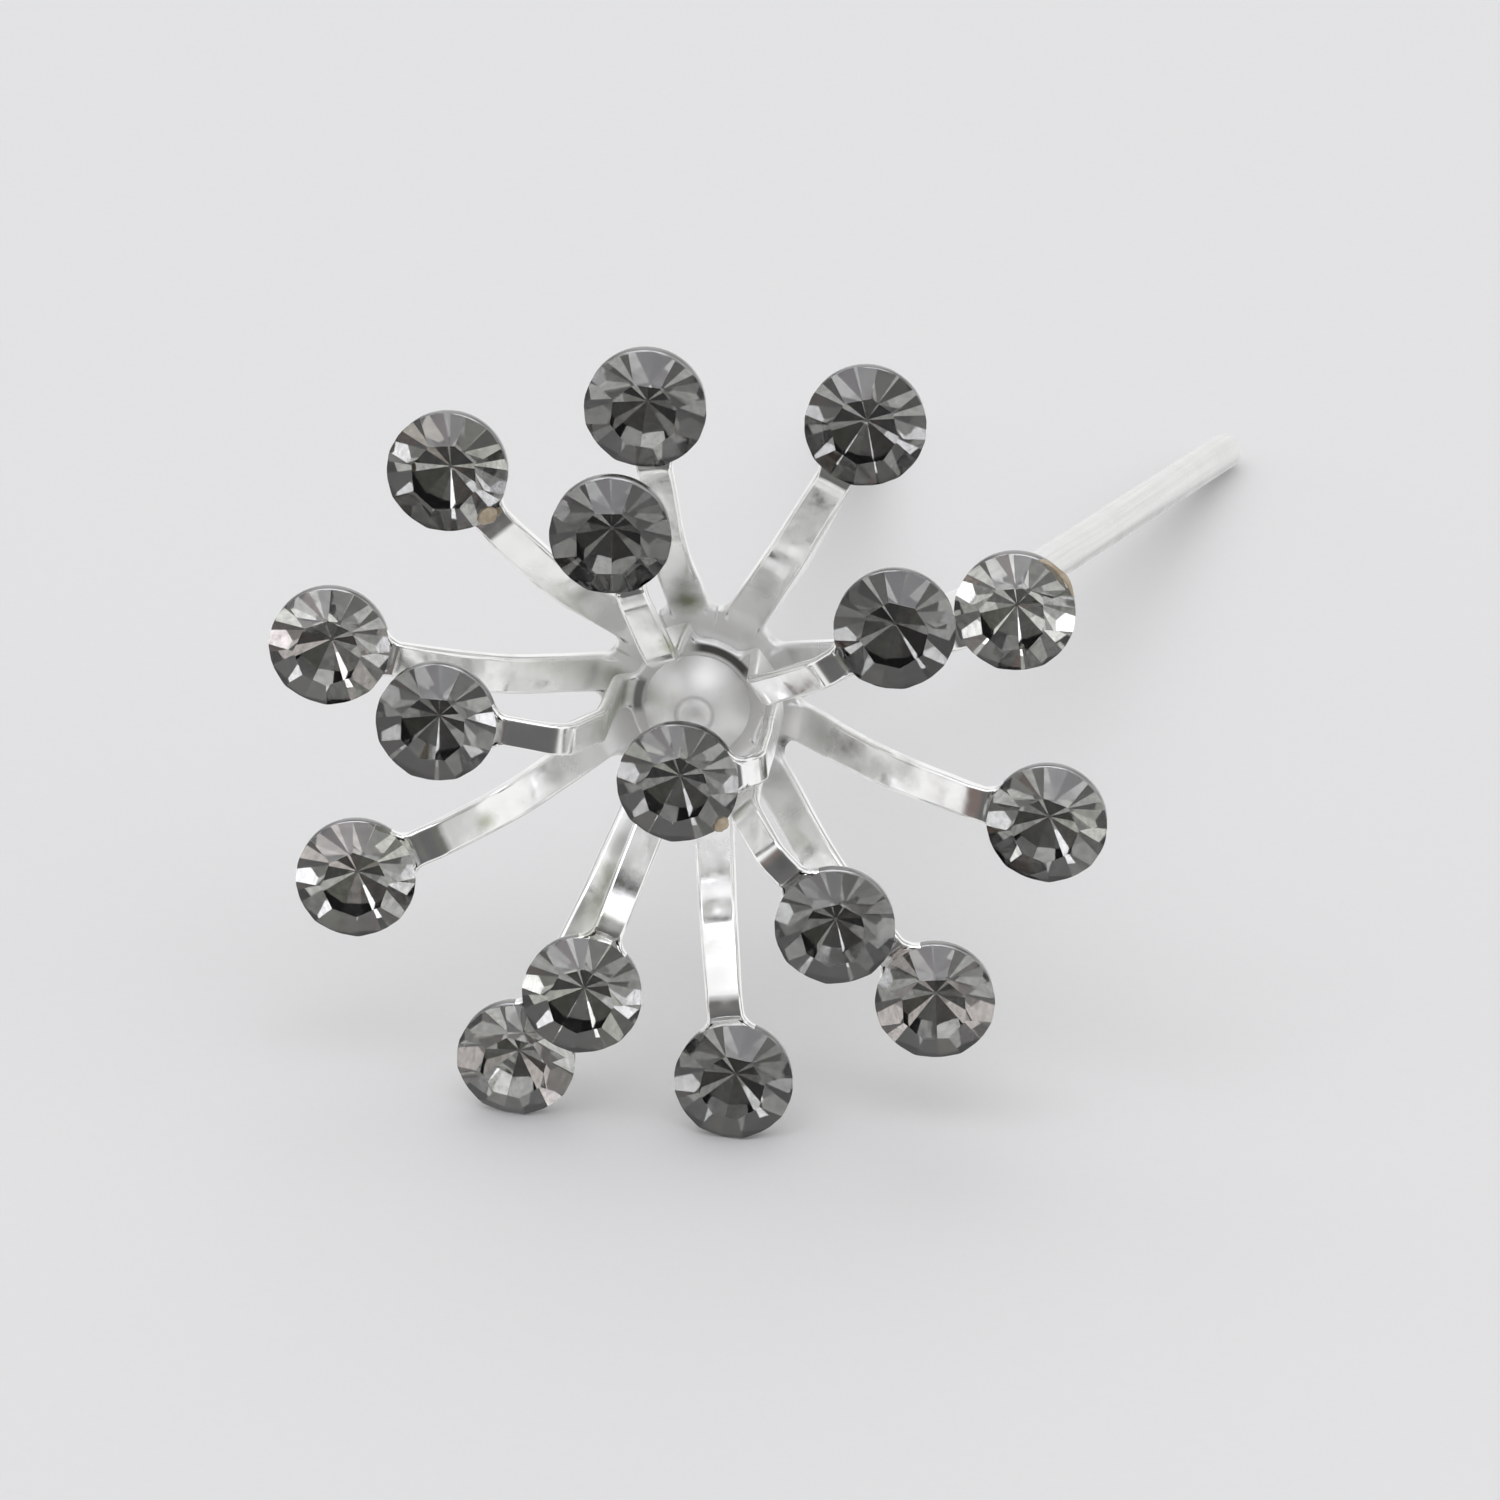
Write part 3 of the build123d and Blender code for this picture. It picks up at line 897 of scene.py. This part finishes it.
def starSheet(star, arms):
    # the whole stamping as one sheet: spots, their top and bottom levels, faces and outline marks
    spots, levels, edges, faces, cupEdges = [], [], [], [], set()
    half = sheetMetal["thickness"] / 2
    rays = []            # from the rivet's hole out to the outline or to the foot of an arm

    def add(spot, onEdge=False, top=half, bottom=-half):
        spots.append(spot)
        levels.append((top, bottom))
        edges.append(onEdge)
        return len(spots) - 1

    def addEdge(arm, edge):
        for length, side, out in edge:
            foot = add(armSpot(arm, star, length, side, out), True)
            rays.append((flatSpot(arm, length, side), foot, arm, None))

    for place, arm in enumerate(arms):
        arm["start"] = armStart(arm, arms[place - 1], arms[(place + 1) % len(arms)], star)
    for place, arm in enumerate(arms):
        width = halfWidth(arm, star, arm["start"])
        arm["foot"] = acrossStrip(arm, star, arm["start"], width, add)
        for share, foot in zip(columnShares, arm["foot"]):
            rays.append((flatSpot(arm, arm["start"], width * share), foot, arm, None))
        after = arms[(place + 1) % len(arms)]
        edge = gapSide(arm, after, star, 1)
        addEdge(arm, edge)
        rim = rimBetween(arm, after, star)
        cornerAngle = math.atan2(edge[-1][1], edge[-1][0])
        open = 2 * (spreadOf(arm, after) - cornerAngle)
        count = max(1, round(open * rim / sheetMetal["rimStep"]))
        for step in range(1, count):
            angle = arm["azimuth"] + cornerAngle + open * step / count
            outward = levelWay(angle).xy
            foot = add(discSpot((arm, after), star, outward * rim, outward), True)
            rays.append((outward * rim, foot, None, (arm, after)))
        addEdge(after, reversed(gapSide(after, arm, star, -1)))

    hole = rivetShape["shank"] / 2 + sheetMetal["gap"]
    rings = sheetMetal["hubRings"]
    web = []
    for flat, foot, arm, pair in rays:
        inward = flat.normalized() * hole
        ray = []
        for ring in range(rings):
            spot = inward.lerp(flat, ring / rings)
            out = -flat.normalized() if ring == 0 else None
            if arm is None:
                ray.append(add(discSpot(pair, star, spot, out), ring == 0))
            else:
                frameOf = (arm["outward"].xy, arm["across"].xy)
                length, side = (spot.dot(direction) for direction in frameOf)
                away = None if out is None else [out.dot(direction) for direction in frameOf]
                ray.append(add(armSpot(arm, star, length, side, away), ring == 0))
        web.append(ray + [foot])
    for place, ray in enumerate(web):
        other = web[(place + 1) % len(web)]
        for near, far in zip(range(rings), range(1, rings + 1)):
            faces.append((ray[near], ray[far], other[far], other[near]))

    for arm in arms:
        cupEdges.update(addArm(arm, star, add, faces))
    return spots, levels, edges, faces, cupEdges


def addArm(arm, star, add, faces):
    radius, flare = cupShape["rim"] / 2, cupShape["flare"]
    center = arm["center"]
    neck = halfWidth(arm, star, center - radius)
    run = math.sqrt((radius + flare) ** 2 - (neck + flare) ** 2)
    flareStart = center - run
    rows = [arm["foot"]]
    count = max(2, math.ceil((flareStart - arm["start"]) / sheetMetal["rowStep"]))
    for step in range(1, count + 1):
        length = arm["start"] + (flareStart - arm["start"]) * step / count
        width = halfWidth(arm, star, length) if step < count else neck
        rows.append(acrossStrip(arm, star, length, width, add))

    # the flare, whose last row lies on the cup's circle
    touch = math.atan2(neck + flare, run)
    steps = cupShape["flareSteps"]
    for step in range(1, steps + 1):
        share = step / steps
        angle = touch + (math.pi / 2 - touch) * (1 - share)
        edge = Vector((flareStart + flare * math.cos(angle), neck + flare - flare * math.sin(angle)))
        row = []
        for part in columnShares:
            if step == steps:
                turn = math.pi - part * touch
                spot = Vector((center + radius * math.cos(turn), radius * math.sin(turn)))
            else:
                middleLength = flareStart + (center - radius - flareStart) * share
                spot = Vector((middleLength + (edge.x - middleLength) * part**2, edge.y * part))
            out = (-math.cos(angle), part * math.sin(angle)) if abs(part) == 1 else None
            row.append(add(armSpot(arm, star, spot.x, spot.y, out), out is not None))
        rows.append(row)
    for near, far in zip(rows, rows[1:]):
        for column in range(sheetMetal["columns"]):
            faces.append((near[column], far[column], far[column + 1], near[column + 1]))
    return addCup(arm, star, add, faces, rows[-1], touch)


def cupLevels():
    # (radius, top, bottom) of the cup from its rim to its middle, in step with each other
    half = sheetMetal["thickness"] / 2
    ridge = math.atan2(backDepth, stoneCut["width"] / 2)
    point = half + stoneCut["proud"] - backDepth
    seatRadius = (half - point) / math.tan(ridge) + sheetMetal["gap"] / math.sin(ridge)
    base = point - sheetMetal["gap"] - cupShape["wall"]
    coneTop = cupShape["rim"] / 2 - cupShape["lip"]
    profile = roundedPath(
        [(cupShape["rim"] / 2, -half), (coneTop, -half), (cupShape["base"] / 2, base), (0, base)],
        (cupShape["bottomBend"], cupShape["baseBend"]),
    )
    total = pathLength(profile)
    steps = cupShape["levels"]
    levels = []
    for step in range(1, steps + 1):
        spot = alongPath(profile, total * step / steps)[0]
        radius = max(spot.x, 0)
        top = half if radius > seatRadius else half - (seatRadius - radius) * math.tan(ridge)
        levels.append((radius, top, spot.y))
    return levels


def addCup(arm, star, add, faces, neckRow, touch):
    # rings from the rim inward; the neck's last row is part of the first ring
    radius, center = cupShape["rim"] / 2, arm["center"]
    open = 2 * math.pi - 2 * touch
    count = math.ceil(open / math.radians(cupShape["rimStep"]))
    ring = list(neckRow)
    angles = [math.pi - touch * share for share in columnShares]
    for step in range(1, count):
        angle = math.pi - touch - open * step / count
        out = (math.cos(angle), math.sin(angle))
        ring.append(add(armSpot(arm, star, center + radius * out[0], radius * out[1], out), True))
        angles.append(angle)
    rings = [ring]
    levels = cupLevels()
    if arm["folded"]:
        levels = [(reach, -bottom, -top) for reach, top, bottom in levels]
    for reach, top, bottom in levels[:-1]:
        ring = []
        for angle in angles:
            spot = (center + reach * math.cos(angle), reach * math.sin(angle))
            ring.append(add(armSpot(arm, star, *spot), False, top, bottom))
        rings.append(ring)
    top, bottom = levels[-1][1:]
    rings.append([add(armSpot(arm, star, center, 0), False, top, bottom)] * len(ring))
    faces.extend(skin(rings, flipped=True))
    return rings[0]


def sheetPiece(name, star, arms):
    spots, levels, edges, faces, cupEdges = starSheet(star, arms)
    edge, steps = sheetMetal["edge"], sheetMetal["edgeSteps"]
    half = sheetMetal["thickness"] / 2
    points, solidFaces, faceSlots = [], [], []

    def put(spot, offset, past):
        points.append(burst @ (spot(offset, past) * mm))
        return len(points) - 1

    pasts = [-edge if onEdge else 0 for onEdge in edges]
    tops = [put(spot, level[0], past) for spot, level, past in zip(spots, levels, pasts)]
    bottoms = [put(spot, level[1], past) for spot, level, past in zip(spots, levels, pasts)]
    sides = {}
    for place, onEdge in enumerate(edges):
        if not onEdge:
            continue
        band = [tops[place]]
        for step in range(1, 2 * steps + 1):
            upper = step <= steps
            angle = math.pi / 2 * (1 - step / steps) if upper else -math.pi / 2 * (step - steps - 1) / steps
            level = half - edge if upper else edge - half
            band.append(put(spots[place], level + edge * math.sin(angle), edge * (math.cos(angle) - 1)))
        sides[place] = band + [bottoms[place]]
    used = {}
    for face in faces:
        solidFaces.append([tops[corner] for corner in face])
        solidFaces.append([bottoms[corner] for corner in face[::-1]])
        for here, there in zip(face, face[1:] + face[:1]):
            used[here, there] = used.get((here, there), 0) + 1
    for here, there in used:
        if (there, here) in used:
            continue
        first, second = sides[here], sides[there]
        for high, low in zip(range(len(first)), range(1, len(first))):
            solidFaces.append([second[high], first[high], first[low], second[low]])
            # the cups' round edges take the darker plate: painted shade
            faceSlots.append(1 if here in cupEdges and there in cupEdges else 0)
    faceSlots = [0] * (len(solidFaces) - len(faceSlots)) + faceSlots
    piece = newPiece(name, points, solidFaces, [silver, shadedCupEdge], faceSlots)
    keepFlats(piece)
    return piece


outerPiece = sheetPiece("outerStar", outerStar, starArms(outerStar, outerStones))
finishPiece(outerPiece, "silver_plate", "outer_star")
innerPiece = sheetPiece("innerStar", innerStar, starArms(innerStar, innerStones, middleStone))
finishPiece(innerPiece, "silver_plate", "inner_star")
print("stars bent:", len(outerPiece.data.polygons), "and", len(innerPiece.data.polygons), "faces")


# Rivet in the middle

def arcPoints(radius, level, reach, rise, steps):
    # a round cap's profile, from the axis out to its reach: level is its middle's, rise 1 is a hollow
    angles = [math.asin(reach / radius) * step / steps for step in range(steps + 1)]
    return [(radius * math.sin(angle), level + rise * radius * (1 - math.cos(angle))) for angle in angles]


def ballRadius(reach, height):
    return (reach**2 + height**2) / (2 * height)


def roundCorner(before, corner, after, radius, steps=5):
    # points of a profile's corner, rounded
    bend, onward = roundedPath([before, corner, after], [radius])[1:]
    reaches = [bend["length"] * step / steps for step in range(steps + 1)]
    return [tuple(alongPath([bend, onward], reach)[0]) for reach in reaches]


def rivetProfile():
    shape = rivetShape
    half, shank = shape["head"] / 2, shape["shank"] / 2
    tailLevel = pinShape["plateBack"] + pinShape["wireSink"] + pinShape["tailClearance"]
    top = headLevel + shape["headHeight"]
    ball = ballRadius(half, shape["headHeight"])
    lip = shape["dimple"] / 2
    lipLevel = top - ball + math.sqrt(ball**2 - lip**2)
    hollow = ballRadius(lip, shape["dimpleDepth"])
    dimple = arcPoints(hollow, lipLevel - shape["dimpleDepth"], lip, 1, shape["dimpleSteps"])
    dome = arcPoints(ball, top, half, -1, shape["domeSteps"])
    dome = [spot for spot in dome if spot[0] > lip + shape["edge"] / 2]
    dimple = [spot for spot in dimple if spot[0] < lip - shape["edge"] / 2]
    # the dome's third point from its rim gives its slope there
    rim = roundCorner(dome[-3], (half, headLevel), (shank, headLevel), shape["edge"])
    dome = [spot for spot in dome if spot[1] > rim[0][1]]
    tail, tailMiddle = (shank + shape["tailLip"], tailLevel), (0, tailLevel)
    flareTop = (shank, tailLevel + shape["tailHeight"])
    tailEdge = roundCorner(flareTop, tail, tailMiddle, shape["edge"] / 2)
    return dimple + dome + rim + [(shank, headLevel), flareTop] + tailEdge + [tailMiddle]


# Pin of bent wire, with its plate

pinShape = {
    "wire": 1.4,
    "length": 60.0,
    "spread": 15.7,
    "bendWidth": 2.5,
    "bendRadius": 1.2,
    "bow": 0.95,         # how far the legs bow, and where along them
    "bowShare": 0.5,
    "bowRadius": 60.0,
    "plate": 5.6,
    "plateLevel": -0.24,
    "plateBack": -1.14,
    "wireSink": 0.25,
    "offset": 1.1,
    "lean": 11.3,        # degrees off the burst's axis, the way of the lean and the roll about it
    "leanAzimuth": 311,
    "roll": -4.3,
    "tailClearance": 0.05,
    "plateEdge": 0.14,
    "wireSides": 48,
    "wireStep": 0.5,
    "bendStep": 0.08,
    "tipRings": 12,
}


def pinPlace():
    # the U's own place: x across the legs, z from the bend toward the tips
    lean, azimuth = math.radians(pinShape["lean"]), math.radians(pinShape["leanAzimuth"])
    tilt = math.sin(lean)
    along = Vector((tilt * math.cos(azimuth), tilt * math.sin(azimuth), -math.cos(lean)))
    level = pinShape["plateBack"] + pinShape["wireSink"] - pinShape["wire"] / 2
    return placeOf(Vector((pinShape["offset"], 0, level)), levelWay(math.radians(pinShape["roll"])), along)


def pinPath():
    corners = []
    wire = pinShape["wire"]
    for way in (1, -1):
        bend = Vector((way * pinShape["bendWidth"] / 2, 0, 0))
        tip = Vector((way * (pinShape["spread"] - wire) / 2, 0, pinShape["length"] - wire))
        bow = bend + (tip - bend) * pinShape["bowShare"] + Vector((0, pinShape["bow"], 0))
        corners.append([bend, bow, tip])
    points = corners[0][::-1] + corners[1]
    radii = [pinShape["bowRadius"], pinShape["bendRadius"], pinShape["bendRadius"], pinShape["bowRadius"]]
    return roundedPath([pinPlace() @ point for point in points], radii)


def wireMesh():
    # rings along the path, closed by a round tip at each end
    path, sides, radius = pinPath(), pinShape["wireSides"], pinShape["wire"] / 2
    legs, walked = [], 0
    for run in path:
        tight = run.get("radius") == pinShape["bendRadius"]
        count = max(1, math.ceil(run["length"] / (pinShape["bendStep"] if tight else pinShape["wireStep"])))
        legs += [(walked + run["length"] * step / count, 0, radius) for step in range(count)]
        walked += run["length"]
    legs.append((walked, 0, radius))
    tip = [math.pi / 2 * ring / pinShape["tipRings"] for ring in range(1, pinShape["tipRings"] + 1)]
    firstTip = [(0, -radius * math.sin(angle), radius * math.cos(angle)) for angle in reversed(tip)]
    lastTip = [(walked, radius * math.sin(angle), radius * math.cos(angle)) for angle in tip]
    points, rings, stations = [], [], []
    around = None
    for station, past, reach in firstTip + legs + lastTip:
        point, along = alongPath(path, station)
        around = around or along.orthogonal()
        around = (around - along * along.dot(around)).normalized()
        third = along.cross(around)
        spots = []
        for turn in turnsOf(sides) if reach > onAxis else [0]:
            spots.append(point + along * past + (around * math.cos(turn) + third * math.sin(turn)) * reach)
        rings.append(addRing(points, spots, sides))
        stations.append(station + past)
    return [burst @ (point * mm) for point in points], skin(rings), stations


def measureWire(piece, stations):
    # u runs round the wire, and v along it in millimetres
    sides = pinShape["wireSides"]
    layer = piece.data.uv_layers.new(name="drawn")
    for face in piece.data.polygons:
        turns = {(index - 1) % sides for index in face.vertices}
        for corner, index in zip(face.loop_indices, face.vertices):
            turn = (index - 1) % sides
            if turn == 0 and sides - 1 in turns:
                turn = sides
            ring = min((index + sides - 1) // sides, len(stations) - 1)
            layer.data[corner].uv = (turn / sides, stations[ring])


def plateProfile():
    shape = pinShape
    gap = sheetMetal["gap"]
    front, back = shape["plateLevel"], shape["plateBack"]
    half, edge = shape["plate"] / 2, shape["plateEdge"]
    tail = rivetShape["shank"] / 2 + rivetShape["tailLip"] + gap
    shank = rivetShape["shank"] / 2 + gap
    tailTop = back + shape["wireSink"] + shape["tailClearance"] + gap
    outline = [
        (shank, front), (half, front), (half, back), (tail, back), (tail, tailTop),
        (shank, tailTop + rivetShape["tailHeight"]),
    ]
    profile = []
    radii = (edge / 3, edge, edge, edge / 2, edge / 4, edge / 4)
    for before, corner, after, radius in zip(outline[-1:] + outline, outline, outline[1:] + outline, radii):
        profile += roundCorner(before, corner, after, radius)
    return profile


solderShape = {
    "height": 0.78,
    "reach": 1.15,
    "along": 0.62,       # half the stretch of the bend that it holds
    "sink": 0.06,
    "rings": 26,
    "sides": 72,
    "ragged": 0.09,
    "raggedLayer": 4.2,  # where in the noise its outline is taken
}


def solderMesh():
    # its flat side from the middle out, then the meniscus from the rim to the bend of the wire
    sides, middle = solderShape["sides"], pinPlace().translation
    across = pinPlace().to_3x3().col[0]
    across = Vector((across.x, across.y, 0)).normalized()
    beside = Vector((-across.y, across.x, 0))
    back = pinShape["plateBack"] + solderShape["sink"]
    height = solderShape["height"] + solderShape["sink"]
    shares = [ring / solderShape["rings"] for ring in range(solderShape["rings"] + 1)]
    profile = [(share, back) for share in shares]
    profile += [(share, back - height * (1 - share) ** 2) for share in reversed(shares)]
    points, rings = [], []
    for share, level in profile:
        spots = []
        for turn in turnsOf(sides) if share else [0]:
            outline = noise.noise(Vector((math.cos(turn), math.sin(turn), solderShape["raggedLayer"])))
            reach = solderShape["reach"] * (1 + solderShape["ragged"] * outline)
            spot = across * math.cos(turn) * (reach * share + solderShape["along"] * math.sqrt(share))
            spot += beside * math.sin(turn) * reach * share
            spots.append(burst @ (Vector((middle.x + spot.x, middle.y + spot.y, level)) * mm))
        rings.append(addRing(points, spots, sides))
    return points, skin(rings, flipped=True)


rivetPiece = newPiece("hubRivet", *turned(rivetProfile(), burst, rivetShape["sides"]), [silver])
finishPiece(rivetPiece, "silver_plate", "hub_rivet")
wirePoints, wireFaces, wireStations = wireMesh()
wirePiece = newPiece("pinWire", wirePoints, wireFaces, [wireSteel])
measureWire(wirePiece, wireStations)
plateMesh = turned(plateProfile(), burst, rivetShape["sides"], closed=True)
platePiece = newPiece("pinPlate", *plateMesh, [plateSteel])
solderPiece = newPiece("solderBead", *solderMesh(), [solderTin])
for piece in (wirePiece, platePiece, solderPiece):
    finishPiece(piece, "steel_wire", "hair_pin")
print("rivet turned, pin bent and soldered")


# Glue that shows beside three of the stones

glueBeads = {
    # where it shows, then how far it reaches each way in degrees, its thickness, reach and level
    "stones": {
        "stone_04": (-47, 11, 0.30, 1.86, 0.10),
        "stone_16": (-44, 9, 0.26, 1.88, 0.08),
        "stone_01": (42, 26, 0.17, 1.90, -0.06),
    },
    "steps": 28,
    "sides": 16,
    "flatness": 0.75,
    "uneven": 0.25,
    "unevenChange": 2.5,
    "unevenLayer": 1.7,  # where in the noise it is taken
}


def glueBead(name, azimuth, span, thickness, reach, level):
    # a bead that swelled out between the girdle and the cup
    shape, place = glueBeads, stonePlaces[name]
    toward = (intoBurst @ place).to_3x3().inverted() @ levelWay(math.radians(azimuth))
    middle = math.atan2(toward.y, toward.x)
    points, rings = [], []
    for step in range(shape["steps"] + 1):
        share = 2 * step / shape["steps"] - 1
        angle = middle + math.radians(span) * share
        uneven = noise.noise(Vector((share * shape["unevenChange"], azimuth, shape["unevenLayer"])))
        thick = thickness * math.sqrt(max(0, 1 - share**2)) * (1 + shape["uneven"] * uneven)
        outward = levelWay(angle)
        spots = []
        for turn in turnsOf(shape["sides"]) if abs(share) < 1 else [0]:
            swell = outward * math.cos(turn) + Vector((0, 0, shape["flatness"] * math.sin(turn)))
            spots.append(place @ ((outward * reach + Vector((0, 0, level)) + swell * thick) * mm))
        rings.append(addRing(points, spots, shape["sides"]))
    piece = newPiece("glue" + name[-2:], points, skin(rings, flipped=True), [glue])
    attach(piece, "root")


for name, bead in glueBeads["stones"].items():
    glueBead(name, *bead)
print("glue beads:", len(glueBeads["stones"]))


# Camera, at the photograph's angle

cameraView = {
    "aim": (1.125, -25.6, 11.34),
    "azimuth": -11.93,
    "elevation": 23.29,
    "roll": -2.53,
    "distance": 260.0,
    "lens": 190.5,
    "sensor": 36.0,
    "clip": (0.01, 20.0),            # metres
}


def skyWay(azimuth, elevation):
    # the way to a place in the sky: degrees from the front (-y) toward +x, and up
    azimuth, elevation = math.radians(azimuth), math.radians(elevation)
    flat = math.cos(elevation)
    return Vector((math.sin(azimuth) * flat, -math.cos(azimuth) * flat, math.sin(elevation)))


def addCamera():
    data = bpy.data.cameras.new("camera")
    data.lens, data.sensor_width = cameraView["lens"], cameraView["sensor"]
    data.clip_start, data.clip_end = cameraView["clip"]
    camera = bpy.data.objects.new("camera", data)
    bpy.context.scene.collection.objects.link(camera)
    back = skyWay(-cameraView["azimuth"], cameraView["elevation"])
    camera.location = (Vector(cameraView["aim"]) + back * cameraView["distance"]) * mm
    turn = (-back).to_track_quat("-Z", "Y").to_matrix().to_4x4()
    roll = Matrix.Rotation(math.radians(-cameraView["roll"]), 4, "Z")
    camera.matrix_world = Matrix.Translation(camera.location) @ turn @ roll
    bpy.context.scene.camera = camera


addCamera()

bpy.context.scene.view_settings.view_transform = "Standard"


# A white tent for the light, with a dark side where the photographer stands

tentLight = {
    "wall": (0.99, 0.99, 0.99),
    # azimuth from the front (-y) toward +x, elevation, radius and softness in degrees, then the colour
    "zones": [
        (0, -90, 62, 26, (0.87, 0.87, 0.87)),
        (140, 42, 18, 12, (0.42, 0.42, 0.42)),
        (-124, 16, 18, 12, (0.36, 0.36, 0.37)),
        (95, 8, 12, 8, (0.40, 0.40, 0.40)),
        (-80, 30, 12, 9, (0.50, 0.50, 0.50)),
        (150, -48, 20, 12, (0.45, 0.45, 0.45)),
        (4, -5, 38, 4, (0.48, 0.48, 0.48)),
        (27, 29, 9, 5, (0.30, 0.30, 0.29)),
        (4, -7, 31, 4, (0.155, 0.153, 0.15)),
        (-22, -4, 12, 7, (0.20, 0.155, 0.145)),
        (26, 5, 10, 7, (0.15, 0.155, 0.135)),
        (4, -14, 14, 8, (0.13, 0.13, 0.132)),
        (-30, 51, 8, 3, (3.0, 3.0, 3.2)),
        (-15, 54, 8, 3, (3.0, 3.0, 3.2)),
        (0, 54, 9, 3, (3.0, 3.0, 3.2)),
        (15, 54, 8, 3, (3.0, 3.0, 3.2)),
        (30, 56, 8, 3, (3.0, 3.0, 3.2)),
    ],
}


def lightTent():
    world = bpy.data.worlds.new("tent")
    world.use_nodes = True
    way = coordinatesOf(world, "Generated")
    colour = tentLight["wall"]
    for azimuth, elevation, radius, softness, light in tentLight["zones"]:
        toward = vectorOf(world, "DOT_PRODUCT", way, skyWay(azimuth, elevation), result="Value")
        outer, inner = (math.cos(math.radians(reach)) for reach in (radius + softness, radius - softness))
        colour = blendOf(world, easeOf(world, toward, outer, inner), colour, light)
    feed(world, world.node_tree.nodes["Background"], {"Color": colour})
    bpy.context.scene.world = world


floorLook = {
    "half": 2.0,         # metres
    "colour": 0.775,
    "grain": 0.4,
    "grainDepth": 0.005,
}


def layFloor():
    # pale matt paper; the metal and the stones see the tent's own lower half in its place
    half, tone, depth = floorLook["half"], floorLook["colour"], floorLook["grainDepth"]
    material, shader = shaderOf("paper", {"Roughness": 1.0, "Specular IOR Level": 0.0})
    stops = [(0.3, tone * (1 - depth)), (0.7, tone * (1 + depth))]
    feed(material, shader, {"Base Color": ramp(material, cloud(material, floorLook["grain"]), stops)})
    corners = [(-half, -half, 0), (half, -half, 0), (half, half, 0), (-half, half, 0)]
    floor = newPiece("floor", corners, [(0, 1, 2, 3)], [material], smooth=False)
    floor.visible_glossy = False
    floor.visible_transmission = False


lightTent()
layFloor()
print("tent lit")
